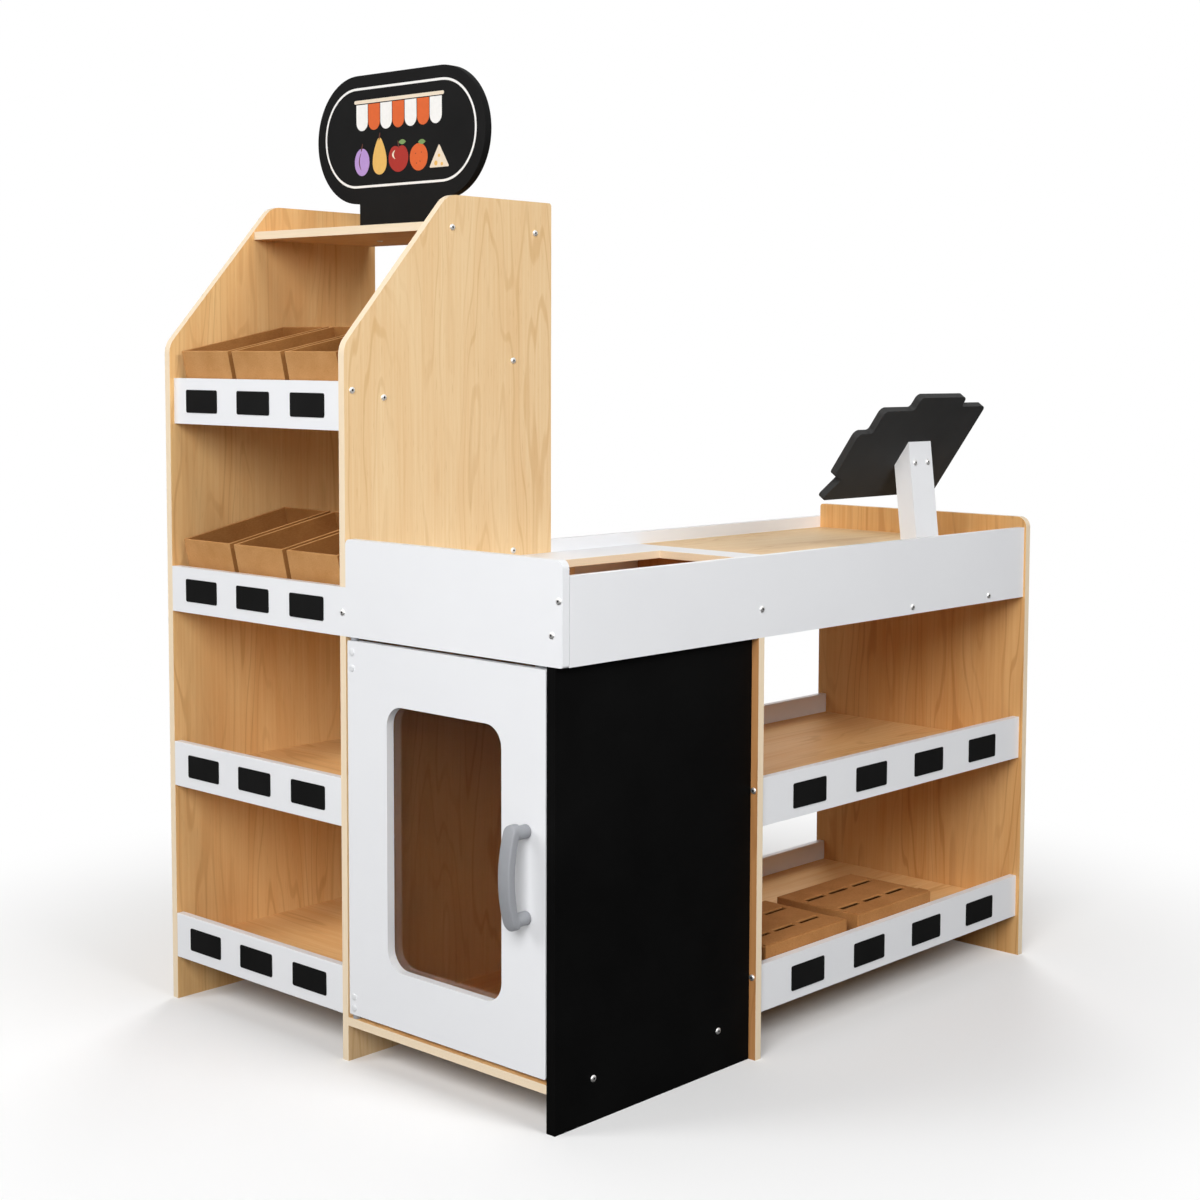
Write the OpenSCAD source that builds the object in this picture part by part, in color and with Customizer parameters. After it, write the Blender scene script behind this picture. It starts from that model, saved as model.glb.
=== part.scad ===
// Toy market stall: a tall display shelf, a corner cabinet with a door and a side counter.
// X runs along the front from the tall shelf to the corner, Y runs back along the counter, Z is up.

/* [Boards] */
// Thickness of every panel, shelf and apron board
board_t = 10; // [9:0.5:11]
// Height of the white fascia boards
fascia_h = 56; // [50:1:60]
// Height of a shelf's top above the bottom edge of its fascia
shelf_rise = 23; // [18:1:28]
// Height of the stops along the back of the flat shelves
rail_h = 27; // [20:1:35]

/* [Tall shelf] */
// Outside width of the tall shelf
tall_w = 348; // [346:1:370]
// Depth of the tall shelf
tall_d = 325; // [310:1:340]
// Height of the side panels
tall_h = 1000; // [980:1:1020]
// Height at which the slanted front corner starts
slant_z = 822; // [810:1:835]
// Depth of the slanted front corner at the top
slant_depth = 156; // [145:1:165]
// Radius of the rounded corners at both ends of the slant
slant_r = 28; // [10:1:35]
// Underside of the header shelf above the floor
header_z = 957; // [950:1:962]
// Bottom edge of the lowest fascia
bottom_z = 54; // [50:1:60]
// Bottom edge of the second fascia
middle_z = 273; // [265:1:280]
// Bottom edge of the top fascia
upper_z = 725.5; // [720:0.5:730]
// How far the top fascia stands back from the front edges of the side panels
upper_set_back = 6; // [0:0.5:8]
// Slope of the two tray shelves in degrees
tray_slope = 12; // [10:0.5:13]

/* [Sign] */
// Width of the round-ended sign
sign_w = 320; // [300:1:328]
// Height of the round-ended sign
sign_h = 162; // [145:1:168]
// Clear height of the neck under the sign
neck_h = 37.5; // [33:0.5:42]
// Width of the neck
neck_w = 152; // [130:1:160]
// Front face of the sign behind the front of the stall
sign_y = 228; // [220:1:235]

/* [Counter] */
// Bottom edge of the counter's apron boards
apron_z = 493; // [488:1:498]
// Top edge of the front apron
apron_top = 604; // [598:1:610]
// Top edge of the side apron
side_apron_top = 587; // [582:1:592]
// Top edge of the rear apron
rear_apron_top = 583; // [578:1:588]
// Height of the counter's surface
counter_z = 567; // [563:1:571]
// Outer face of the chalkboard panel from the stall's left side
chalkboard_x = 685; // [675:1:695]
// Thickness of the chalkboard panel
chalkboard_t = 12.5; // [10:0.5:13]
// Back of the cabinet from the front of the stall
cabinet_d = 315; // [305:1:315]
// Outer face of the end panel from the front of the stall
counter_l = 885; // [865:1:905]
// How far the end panel's front edge stands out past the side apron
end_reach = 3; // [2:1:8]
// How far the side fascias stand back from the side apron
fascia_recess = 2.5; // [0:0.5:3]
// Top of the end panel
end_top = 601; // [595:1:608]
// Where the white bin top ends and the wooden counter top starts
bin_top_l = 489; // [480:1:500]
// Inner edge of the bin's cut-out on the seller's side
bin_x = 428; // [420:1:440]
// Width of the bin's cut-out along X
bin_w = 222; // [180:1:235]
// Length of the bin's cut-out along Y
bin_l = 310; // [250:1:325]
// Front edge of the bin's cut-out
bin_y = 130; // [120:1:140]

/* [Door] */
// Gap above and below the door
door_gap = 4; // [3.5:0.5:5]
// Gap between the door and the chalkboard panel
latch_gap = 1.5; // [1:0.5:4]
// Underside of the cabinet floor
floor_z = 42; // [38:1:46]
// Width of the door's window
window_w = 186; // [150:1:190]
// Height of the door's window
window_h = 300; // [250:1:305]
// Inset of the window from the door's left edge
window_inset = 67.5; // [60:0.5:75]
// Height of the window above the door's bottom edge
window_rise = 65.5; // [60:0.5:75]
// Radius of the window's corners
window_r = 24; // [10:1:35]
// Distance of the pivot from the middle panel
pivot_inset = 10; // [9.5:0.5:11]
// Length of the handle's bar
handle_l = 112; // [100:1:120]
// Distance between the handle's feet
handle_pitch = 92; // [80:1:96]
// Middle height of the handle
handle_z = 271; // [260:1:285]

/* [Screen] */
// Middle of the screen post along Y
post_y = 680; // [670:1:690]
// Width of the screen post along Y
post_w = 49; // [40:1:52]
// Depth of the screen post along X
post_d = 25; // [20:1:27]
// Lean of the screen post in degrees
post_lean = 6.8; // [5:0.1:8]
// Tilt of the screen from the level in degrees
screen_tilt = 55; // [53:1:58]

/* [Trays and stands] */
// Outside width of a display tray
tray_w = 95; // [88:1:98]
// Outside length of a display tray
tray_l = 157; // [140:1:170]
// Outside height of a display tray
tray_h = 55; // [45:1:58]
// Thickness of the cardboard
card_t = 3; // [2:0.5:4]
// Depth of a cake stand along X
stand_d = 130; // [110:1:150]
// Height of a cake stand
stand_h = 46.5; // [36:0.5:55]

/* [Screws] */
// Radius of a screw's head
head_r = 4; // [3:0.5:4.5]
// Height of a screw's head
head_h = 1.6; // [1:0.1:2]
// Radius of a screw's shank
shank_r = 2; // [1.5:0.5:2.5]
// Length of a screw's shank
shank_l = 30; // [25:1:35]

/* [Hidden] */
$fn = 48;

wood = "#E4C595";
white = "#EDEEF0";
black = "#222222";
cardboard = "#B98850";
grey = "#9A9CA1";
steel = "#C9CBD0";

// Clearance that keeps loose or moving pieces off their neighbours
play = 0.3;
// Radial running clearance of the door's pivots
running_play = 0.05;
// Open joint between the front apron and the end of the side apron
apron_seam = 0.6;
// Clearance of a screw in its hole
screw_play = 0.1;
// Outer radius of a screw head as a share of its foot
head_taper = 0.65;
// Extra length that carries a cut past the face it starts from
past = 1;

// Main planes of the stall
inner_x = board_t;
middle_x = tall_w - board_t;
side_x = chalkboard_x + board_t;
divider_back = cabinet_d + board_t;
fascia_x = side_x - fascia_recess;
fascia_back = fascia_x - board_t;
end_y = counter_l - board_t;
apron_low_top = apron_z + fascia_h;
top_under = counter_z - board_t;
ceiling_z = apron_z + 4;
ceiling_top = ceiling_z + board_t;
shelf_back = tall_d - board_t;

// The three shelf levels that both units share, as shelf undersides
middle_shelf_z = middle_z + shelf_rise - board_t;
bottom_shelf_z = bottom_z + shelf_rise - board_t;

// Tray shelves: the top surface leaves the fascia's back at this height
tray_shelf_rise = 32.5;
upper_tray_z = upper_z + tray_shelf_rise;
lower_tray_z = apron_z + tray_shelf_rise;
tray_shelf_l = 292;

// Inner face of the chalkboard panel, door outline and pivot
door_x = tall_w + 3;
door_z = floor_z + board_t + door_gap + 1;
cabinet_end = chalkboard_x - chalkboard_t;
door_w = cabinet_end - latch_gap - door_x;
door_h = apron_z - door_gap - door_z;
pivot_x = tall_w + pivot_inset;
pivot_y = board_t / 2;
pivot_r = 2.5;
pivot_in = 20;
pivot_out = 8;
window_t = 2;
handle_x = door_x + door_w - 28;
handle_out = 34;
handle_bow = 10;

// The stall's box, whose floor centre is the origin
stall_left = -head_h;
stall_right = side_x + end_reach;
stall_front = -handle_out;
stall_back = counter_l + head_h;
centre_x = (stall_left + stall_right) / 2;
centre_y = (stall_front + stall_back) / 2;

// Directions that turn a screw's shank from +Z
to_right = [0, 90, 0];
to_left = [0, -90, 0];
to_back = [-90, 0, 0];
to_front = [90, 0, 0];
to_top = [0, 0, 0];

// Middle height of a tray shelf's board at depth y, for a shelf that starts at height z
function tray_shelf_mid(z, y) = z + (y - board_t) * tan(tray_slope) - board_t / 2 / cos(tray_slope);

// Points of an arc of the given radius that rounds one corner of an outline
function corner_arc(before, corner, after, radius, steps) =
    let (u = (before - corner) / norm(before - corner))
    let (v = (after - corner) / norm(after - corner))
    let (half = acos(u * v) / 2)
    let (centre = corner + (u + v) / norm(u + v) * radius / sin(half))
    let (start = corner + u * radius / tan(half) - centre)
    let (turn = cross(corner - before, after - corner) > 0 ? 1 : -1)
    let (sweep = turn * (180 - 2 * half))
    [for (i = [0 : steps])
        let (a = atan2(start[1], start[0]) + sweep * i / steps)
        centre + radius * [cos(a), sin(a)]];

// Outline whose corners are rounded by the radii, with 0 for a sharp corner
function rounded(points, radii, steps = 8) =
    let (n = len(points))
    [for (i = [0 : n - 1])
        each radii[i] == 0 ? [points[i]]
            : corner_arc(points[(i + n - 1) % n], points[i], points[(i + 1) % n], radii[i], steps)];

// Rectangle with all corners rounded
function rounded_box(low, high, radius) =
    rounded([low, [high[0], low[1]], high, [low[0], high[1]]], [radius, radius, radius, radius]);

// Screw heads on the tall shelf's side panels, as [depth, height]
shelf_screw_y = [57, 260];
header_screw_y = [162, 297];
fascia_screw_rise = fascia_h - 13;
upper_screw_rise = fascia_h - 10;
upper_panel_screws = concat(
    [for (y = header_screw_y) [y, header_z + board_t / 2]],
    [for (z = [upper_tray_z, lower_tray_z]) for (y = shelf_screw_y) [y, tray_shelf_mid(z, y)]],
    [for (z = [middle_shelf_z, bottom_shelf_z]) for (y = shelf_screw_y) [y, z + board_t / 2]],
    [[upper_set_back + board_t / 2, upper_z + upper_screw_rise]]);
left_only_screws = [for (z = [middle_z, bottom_z, apron_z]) [board_t / 2, z + fascia_screw_rise]];
left_screws = [for (p = concat(upper_panel_screws, left_only_screws)) [0, p[0], p[1]]];
middle_screws = [for (p = upper_panel_screws) [tall_w, p[0], p[1]]];
cabinet_screws = [for (z = [floor_z, ceiling_z]) for (y = shelf_screw_y) [middle_x, y, z + board_t / 2]];
sign_screw_reach = 43;
sign_screws = [for (s = [-1, 1]) [tall_w / 2 + s * sign_screw_reach, sign_y + board_t / 2, header_z]];

// Screw heads round the counter
// Heights above the aprons' lower edges
low_rise = 27;
corner_rise = 33;
end_rise = 47;
high_rise = 69;
front_screws = [[middle_x + board_t / 2, 0, apron_z + low_rise],
    [chalkboard_x - board_t / 2, 0, apron_z + corner_rise],
    [chalkboard_x + board_t / 2, 0, apron_z + high_rise]];
base_screw_y = [617, 790];
side_screws = concat([[side_x, cabinet_d + board_t / 2, apron_z + corner_rise]],
    [for (y = base_screw_y) [side_x, y, ceiling_z + board_t / 2]]);
rear_screws = concat([for (y = base_screw_y) [middle_x, y, ceiling_z + board_t / 2]],
    [[middle_x, counter_l - board_t / 2, apron_z + end_rise]]);
chalkboard_screws = [for (y = shelf_screw_y) [chalkboard_x, y, floor_z + board_t / 2]];
side_shelf_screw_x = [420, 620];
side_shelf_points = [for (z = [middle_shelf_z, bottom_shelf_z])
    for (x = side_shelf_screw_x) [x, z + board_t / 2]];
// The heads on the divider just clear the chalkboard's face
side_fascia_screw_x = chalkboard_x + head_r + play;
side_fascia_points = [for (z = [middle_z, bottom_z]) [side_fascia_screw_x, z + fascia_screw_rise]];
base_end_points = [for (x = side_shelf_screw_x) [x, ceiling_z + board_t / 2]];
divider_screws = [for (p = concat(side_shelf_points, side_fascia_points)) [p[0], cabinet_d, p[1]]];
apron_end_point = [chalkboard_x + board_t / 2, apron_z + end_rise];
end_points = concat(side_shelf_points, side_fascia_points, base_end_points, [apron_end_point]);
end_screws = [for (p = end_points) [p[0], counter_l, p[1]]];

// Screen post: its foot on the counter, as X of both faces, and its slanted top
post_right = 674.5;
post_left = post_right - post_d;
post_top_z = 706.5;
post_top_x = post_right - (post_top_z - counter_z) * tan(post_lean);
post_cut_run = post_d / (1 + tan(screen_tilt) * tan(post_lean));
post_mid = [post_top_x - post_cut_run / 2, post_top_z - post_cut_run / 2 * tan(screen_tilt)];
screen_t = 9;
post_screws = [for (y = [-12, 12]) [(post_left + post_right) / 2, post_y + y, top_under]];
screen_screw_z = 680;
screen_screw_x = post_right - (screen_screw_z - counter_z) * tan(post_lean);
screen_screw_points = [for (y = [-14, 14]) [screen_screw_x, post_y + y, screen_screw_z]];
screen_shank_l = 28;
// A screw driven square into the post's leaning face
to_screen = [0, -90 - post_lean, 0];

// Small screws of the door: shank radius and lengths
small_shank_r = 1.5;
window_shank_l = 8;
handle_shank_l = 22;
window_margin = 10;
window_screw_inset = 5;
window_low = [door_x + window_inset, door_z + window_rise];
window_high = window_low + [window_w, window_h];
window_screw_x = [window_low[0] - window_screw_inset, window_high[0] + window_screw_inset];
window_screw_z = [window_low[1], (window_low[1] + window_high[1]) / 2, window_high[1]];
window_screw_points = [for (x = window_screw_x) for (z = window_screw_z) [x, board_t + window_t, z]];
handle_screw_points = [for (s = [-1, 1]) [handle_x, board_t, handle_z + s * handle_pitch / 2]];

// Trays: the lower front edge of a tray on the upper shelf
tray_front_y = 22.3;
// Gap beside the left tray, and the gaps between the trays
tray_left_gap = 9;
tray_gap = 8;
tray_pitch = tray_w + tray_gap;
stand_w = tray_l;
stand_front = fascia_back - 1;
near_stand_y = 350;
far_stand_y = 530;
slot_l = 40;
slot_w = 8;

// Label plates
label_size = [63, 28];
side_label_size = [63, 30];
side_label_drop = 2;
label_t = 0.8;
label_r = 2.5;
label_pitch = 103;
// Labels on the upper fascia are stuck a little left of its middle
upper_label_shift = -3.4;
side_label_pitch = 123;

// Everything is drawn from the stall's front left corner and then moved to the origin
module place() {
    translate([-centre_x, -centre_y, 0]) children();
}

// Board between two opposite corners
module board(low, high) {
    translate(low) cube(high - low);
}

// Upright board in the YZ plane whose left face is at x
module side_board(x, outline, thickness = board_t) {
    translate([x, 0, 0]) rotate([90, 0, 90]) linear_extrude(thickness) polygon(outline);
}

// Upright plate in the XZ plane whose front face is at y
module front_plate(y, outline, thickness = board_t) {
    translate([0, y + thickness, 0]) rotate([90, 0, 0]) linear_extrude(thickness) polygon(outline);
}

// Low head of a screw, standing up along +Z
module head() {
    cylinder(h = head_h, r1 = head_r, r2 = head_r * head_taper);
}

// Screw with its head below the origin, pointing along +Z
module screw(length = shank_l, radius = shank_r) {
    cylinder(h = length, r = radius);
    rotate([180, 0, 0]) head();
}

// One screw at each point
module screws(points, direction, length = shank_l, radius = shank_r) {
    for (p = points) translate(p) rotate(direction) screw(length, radius);
}

// Holes for the screws of a list
module bores(points, direction, length = shank_l, radius = shank_r) {
    for (p = points) {
        translate(p) rotate(direction) translate([0, 0, -past])
            cylinder(h = length + past + screw_play, r = radius + screw_play);
    }
}

// Outline of the tall side panels from the floor up to the slanted corner, without the front edge
tall_outline = [[0, 0], [tall_d, 0], [tall_d, tall_h], [slant_depth, tall_h], [0, slant_z]];
tall_radii = [0, 0, 4, slant_r, slant_r];

module left_side_panel() {
    color(wood) place() difference() {
        side_board(0, rounded(tall_outline, tall_radii));
        bores(left_screws, to_right);
    }
}

module middle_side_panel() {
    notch = [[0, apron_low_top], [board_t, apron_low_top], [board_t, apron_z], [0, apron_z]];
    color(wood) place() difference() {
        side_board(middle_x, rounded(concat(tall_outline, notch), concat(tall_radii, [0, 0, 0, 0])));
        bores(middle_screws, to_left);
        bores(cabinet_screws, to_right);
        bores(front_screws, to_back);
    }
}

module header_shelf() {
    front = (header_z + board_t - slant_z) * slant_depth / (tall_h - slant_z) + 1;
    color(wood) place() difference() {
        board([inner_x, front, header_z], [middle_x, shelf_back, header_z + board_t]);
        bores(left_screws, to_right);
        bores(middle_screws, to_left);
        bores(sign_screws, to_top);
    }
}

module header_sign() {
    r = sign_h / 2;
    middle = [tall_w / 2, sign_y, header_z + board_t + neck_h + r];
    color(black) place() difference() {
        translate(middle) {
            for (s = [-1, 1]) {
                translate([s * (sign_w / 2 - r), 0, 0]) rotate([-90, 0, 0])
                    cylinder(h = board_t, r = r, $fn = 96);
            }
            board([r - sign_w / 2, 0, -r], [sign_w / 2 - r, board_t, r]);
            board([-neck_w / 2, 0, -r - neck_h], [neck_w / 2, board_t, 0]);
        }
        bores(sign_screws, to_top);
    }
}

// White lip board between the tall shelf's panels, whose front face is at y
module tall_fascia(z, y = 0) {
    color(white) place() difference() {
        board([inner_x, y, z], [middle_x, y + board_t, z + fascia_h]);
        bores(left_screws, to_right);
        bores(middle_screws, to_left);
    }
}

module upper_fascia() {
    tall_fascia(upper_z, upper_set_back);
}

module middle_fascia() {
    tall_fascia(middle_z);
}

module bottom_fascia() {
    tall_fascia(bottom_z);
}

// Sloped board under a row of trays, which starts by the set-back behind the other fascias' backs
module tray_shelf(z, set_back = 0) {
    start = set_back / cos(tray_slope);
    color(wood) place() difference() {
        translate([inner_x, board_t, z]) rotate([tray_slope, 0, 0]) translate([0, start, -board_t])
            cube([middle_x - inner_x, tray_shelf_l - start, board_t]);
        bores(left_screws, to_right);
        bores(middle_screws, to_left);
    }
}

module upper_tray_shelf() {
    tray_shelf(upper_tray_z, upper_set_back);
}

module lower_tray_shelf() {
    tray_shelf(lower_tray_z);
}

module tall_shelf(z) {
    color(wood) place() difference() {
        board([inner_x, board_t, z], [middle_x, shelf_back, z + board_t]);
        bores(left_screws, to_right);
        bores(middle_screws, to_left);
    }
}

module middle_shelf() {
    tall_shelf(middle_shelf_z);
}

module bottom_shelf() {
    tall_shelf(bottom_shelf_z);
}

// Low stop along the back of a flat shelf of the tall unit
module back_rail(z) {
    color(white) place() board([inner_x, shelf_back - board_t, z], [middle_x, shelf_back, z + rail_h]);
}

module middle_back_rail() {
    back_rail(middle_shelf_z + board_t);
}

module bottom_back_rail() {
    back_rail(bottom_shelf_z + board_t);
}

// Black write-on label, centred on the origin and standing out along -Y
module label(size) {
    front_plate(-label_t, rounded_box(-size / 2, size / 2, label_r), label_t);
}

module tall_unit_labels() {
    color(black) place() {
        level_rows = [for (z = [bottom_z, middle_z, apron_z]) [0, 0, z]];
        for (face = concat(level_rows, [[upper_label_shift, upper_set_back, upper_z]])) {
            for (i = [-1 : 1]) {
                translate(face + [tall_w / 2 + i * label_pitch, 0, fascia_h / 2]) label(label_size);
            }
        }
    }
}

module side_unit_labels() {
    middle_y = (divider_back + end_y) / 2;
    color(black) place() {
        for (z = [bottom_z, middle_z]) for (i = [-1.5 : 1.5]) {
            translate([fascia_x, middle_y + i * side_label_pitch, z + fascia_h / 2 - side_label_drop])
                rotate([0, 0, 90]) label(side_label_size);
        }
    }
}

// Lip of the lower tray shelf and front of the counter in one stepped board
module front_apron() {
    outline = [[inner_x, apron_z], [side_x, apron_z], [side_x, apron_top], [tall_w, apron_top],
        [tall_w, apron_low_top], [inner_x, apron_low_top]];
    color(white) place() difference() {
        front_plate(0, rounded(outline, [0, 3, 9, 7, 0, 0]));
        bores(left_screws, to_right);
        bores(front_screws, to_back);
        translate([pivot_x, pivot_y, apron_z - past]) cylinder(h = pivot_out + 3, r = pivot_r + running_play);
    }
}

module side_apron() {
    color(white) place() difference() {
        board([chalkboard_x, board_t + apron_seam, apron_z], [side_x, end_y, side_apron_top]);
        bores(front_screws, to_back);
        bores(side_screws, to_left);
        bores(end_screws, to_front);
    }
}

module rear_apron() {
    color(white) place() difference() {
        board([middle_x, tall_d, apron_z], [tall_w, counter_l, rear_apron_top]);
        bores(rear_screws, to_right);
    }
}

module chalkboard_panel() {
    outline = [[0, 0], [cabinet_d, 0], [cabinet_d, top_under], [board_t, top_under], [board_t, apron_z],
        [0, apron_z]];
    color(black) place() difference() {
        side_board(cabinet_end, outline, chalkboard_t);
        bores(front_screws, to_back);
        bores(chalkboard_screws, to_left);
    }
}

// Back of the cabinet, cut down in the middle so that the bin runs through it
module divider_panel() {
    ear = 42;
    outline = [[tall_w, 0], [side_x, 0], [side_x, apron_z], [chalkboard_x, apron_z],
        [chalkboard_x, top_under], [chalkboard_x - ear, top_under], [chalkboard_x - ear, ceiling_top],
        [tall_w + ear, ceiling_top], [tall_w + ear, top_under], [tall_w, top_under]];
    color(wood) place() difference() {
        front_plate(cabinet_d, outline);
        bores(divider_screws, to_back);
        bores(side_screws, to_left);
    }
}

module end_panel() {
    outline = [[tall_w, 0], [stall_right, 0], [stall_right, end_top], [tall_w, end_top]];
    color(wood) place() difference() {
        front_plate(end_y, rounded(outline, [0, 0, 14, 4]));
        bores(end_screws, to_front);
        bores(rear_screws, to_right);
    }
}

module cabinet_floor() {
    color(wood) place() difference() {
        board([tall_w, 0, floor_z], [cabinet_end, cabinet_d, floor_z + board_t]);
        bores(cabinet_screws, to_right);
        bores(chalkboard_screws, to_left);
        translate([pivot_x, pivot_y, floor_z - past])
            cylinder(h = board_t + 2 * past, r = pivot_r + running_play);
    }
}

module cabinet_ceiling() {
    color(wood) place() difference() {
        board([tall_w, board_t, ceiling_z], [cabinet_end, cabinet_d, ceiling_top]);
        bores(cabinet_screws, to_right);
    }
}

module counter_base() {
    color(wood) place() difference() {
        board([tall_w, divider_back, ceiling_z], [chalkboard_x, end_y, ceiling_top]);
        bores(side_screws, to_left);
        bores(rear_screws, to_right);
        bores(end_screws, to_front);
    }
}

// Upright board that closes the bin and carries the joint between the two tops
module counter_cross_board() {
    y = bin_top_l - board_t / 2;
    color(wood) place() board([tall_w, y, ceiling_top], [chalkboard_x, y + board_t, top_under]);
}

module bin_top() {
    color(white) place() difference() {
        board([tall_w, board_t, top_under], [chalkboard_x, bin_top_l, counter_z]);
        board([bin_x, bin_y, top_under - past], [bin_x + bin_w, bin_y + bin_l, counter_z + past]);
    }
}

module counter_top() {
    color(wood) place() difference() {
        board([tall_w, bin_top_l, top_under], [chalkboard_x, end_y, counter_z]);
        bores(post_screws, to_top);
    }
}

module side_shelf(z) {
    color(wood) place() difference() {
        board([tall_w, divider_back, z], [fascia_back, end_y, z + board_t]);
        bores(divider_screws, to_back);
        bores(end_screws, to_front);
    }
}

module side_middle_shelf() {
    side_shelf(middle_shelf_z);
}

module side_bottom_shelf() {
    side_shelf(bottom_shelf_z);
}

module side_fascia(z) {
    color(white) place() difference() {
        board([fascia_back, divider_back, z], [fascia_x, end_y, z + fascia_h]);
        bores(divider_screws, to_back);
        bores(end_screws, to_front);
    }
}

module side_middle_fascia() {
    side_fascia(middle_z);
}

module side_bottom_fascia() {
    side_fascia(bottom_z);
}

// Low stop along the seller's side of a shelf
module side_rail(z) {
    x = tall_w + 5;
    color(white) place() board([x, divider_back, z], [x + board_t, end_y, z + rail_h]);
}

module side_middle_rail() {
    side_rail(middle_shelf_z + board_t);
}

module side_bottom_rail() {
    side_rail(bottom_shelf_z + board_t);
}

module cabinet_door() {
    outline = rounded_box([door_x, door_z], [door_x + door_w, door_z + door_h], 2);
    window = rounded_box(window_low, window_high, window_r);
    color(white) place() difference() {
        front_plate(0, outline);
        front_plate(-past, window, board_t + 2 * past);
        pivot_rods(past, pivot_r + running_play);
        bores(window_screw_points, to_front, window_shank_l, small_shank_r);
        bores(handle_screw_points, to_front, handle_shank_l);
    }
}

// Rods that reach into the door's top and bottom and stand out of it
module pivot_rods(outside, radius) {
    for (z = [door_z - outside, door_z + door_h - pivot_in]) {
        translate([pivot_x, pivot_y, z]) cylinder(h = pivot_in + outside, r = radius);
    }
}

module pivot_pins() {
    color(steel) place() pivot_rods(door_gap + pivot_out, pivot_r);
}

// Washers that keep the door off the cabinet floor and the apron
module pivot_bushes() {
    bush_r = 4.6;
    lower_gap = door_z - floor_z - board_t;
    color(grey) place() difference() {
        union() {
            translate([pivot_x, pivot_y, floor_z + board_t])
                cylinder(h = lower_gap - play, r = bush_r);
            translate([pivot_x, pivot_y, apron_z - door_gap + play])
                cylinder(h = door_gap - play, r = bush_r);
        }
        translate([pivot_x, pivot_y, 0]) cylinder(h = apron_top, r = pivot_r + running_play);
    }
}

// Round caps over the bolts that lock the pivot pins
module hinge_caps() {
    cap_z = [door_z + 8, door_z + 21, door_z + door_h - 31, door_z + door_h - 13];
    color(white) place() {
        for (z = cap_z) {
            translate([pivot_x + 1, 0, z]) rotate([90, 0, 0]) head();
        }
    }
}

module door_window() {
    margin = [window_margin, window_margin];
    color("#B8C0C8") place() difference() {
        front_plate(board_t, rounded_box(window_low - margin, window_high + margin, 6), window_t);
        bores(window_screw_points, to_front, window_shank_l, small_shank_r);
    }
}

module window_screws() {
    color(steel) place() screws(window_screw_points, to_front, window_shank_l, small_shank_r);
}

// Bowed bar on two feet
module door_handle() {
    bar_w = 17;
    bar_t = 10;
    foot_r = 7.5;
    bow_r = (pow(handle_l / 2, 2) + pow(handle_bow, 2)) / (2 * handle_bow);
    bow_half = asin((handle_l - bar_t) / 2 / bow_r);
    bow_y = bow_r + bar_t / 2 - handle_out;
    color(grey) place() difference() {
        union() {
            translate([handle_x, bow_y, handle_z]) rotate([90, 0, -90]) {
                rotate([0, 0, -bow_half]) rotate_extrude(angle = 2 * bow_half, $fn = 190)
                    translate([bow_r - bar_t / 2, -bar_w / 2]) square([bar_t, bar_w]);
                for (s = [-1, 1]) {
                    rotate([0, 0, s * bow_half]) translate([bow_r, 0, -bar_w / 2])
                        cylinder(h = bar_w, r = bar_t / 2);
                }
            }
            for (s = [-1, 1]) {
                translate([handle_x, 0, handle_z + s * handle_pitch / 2]) rotate([90, 0, 0])
                    cylinder(h = handle_out - handle_bow, r = foot_r);
            }
        }
        bores(handle_screw_points, to_front, handle_shank_l);
    }
}

module handle_screws() {
    color(steel) place() screws(handle_screw_points, to_front, handle_shank_l);
}

// Steel plate on the back of the door, and the magnetic catch that it meets
module catch_plate() {
    top = door_z + door_h;
    color(steel) place() board([handle_x + 4, board_t, top - 17], [handle_x + 20, board_t + 2, top - 3]);
}

module door_catch() {
    front = board_t + 2 + play;
    color(white) place() board([handle_x, front, ceiling_z - 20], [handle_x + 24, front + 15, ceiling_z]);
}

// Leaning block whose top is cut to the tilt of the screen
module screen_post() {
    top_left = [post_top_x - post_cut_run, post_top_z - post_cut_run * tan(screen_tilt)];
    outline = [[post_left, counter_z], [post_right, counter_z], [post_top_x, post_top_z], top_left];
    color(white) place() difference() {
        front_plate(post_y - post_w / 2, outline, post_w);
        bores(post_screws, to_top);
        bores(screen_screw_points, to_screen, screen_shank_l);
    }
}

// Black stepped board that stands for a till's screen, drawn flat as [height, side] and then tilted
module screen_board() {
    outline = [[-69, -141], [-69, 104], [73, 104], [73, 48], [88, 48], [88, -53], [68, -53], [68, -114],
        [34, -114], [34, -141], [-31, -141], [-37, -122]];
    radii = [5, 7, 7, 4, 7, 7, 5, 8, 5, 8, 6, 3];
    color(black) place() difference() {
        translate([post_mid[0], post_y, post_mid[1]]) rotate([0, -screen_tilt, 0])
            linear_extrude(screen_t) polygon(rounded(outline, radii, 5));
        bores(screen_screw_points, to_screen, screen_shank_l);
    }
}

module screen_screws() {
    color(steel) place() screws(screen_screw_points, to_screen, screen_shank_l);
}

module tall_unit_screws() {
    color(steel) place() {
        screws(left_screws, to_right);
        screws(middle_screws, to_left);
        screws(cabinet_screws, to_right);
        screws(sign_screws, to_top);
    }
}

module counter_screws() {
    color(steel) place() {
        screws(front_screws, to_back);
        screws(side_screws, to_left);
        screws(rear_screws, to_right);
        screws(chalkboard_screws, to_left);
        screws(divider_screws, to_back);
        screws(end_screws, to_front);
        screws(post_screws, to_top);
    }
}

// Open cardboard tray lying on a tray shelf, in the column counted from the left
module tray(shelf_z, column) {
    x = inner_x + tray_left_gap + column * tray_pitch;
    z = shelf_z + (tray_front_y - board_t) * tan(tray_slope) + play / cos(tray_slope);
    color(cardboard) place() translate([x, tray_front_y, z]) rotate([tray_slope, 0, 0]) difference() {
        cube([tray_w, tray_l, tray_h]);
        translate([card_t, card_t, card_t]) cube([tray_w - 2 * card_t, tray_l - 2 * card_t, tray_h]);
    }
}

module upper_left_tray() {
    tray(upper_tray_z, 0);
}

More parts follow.
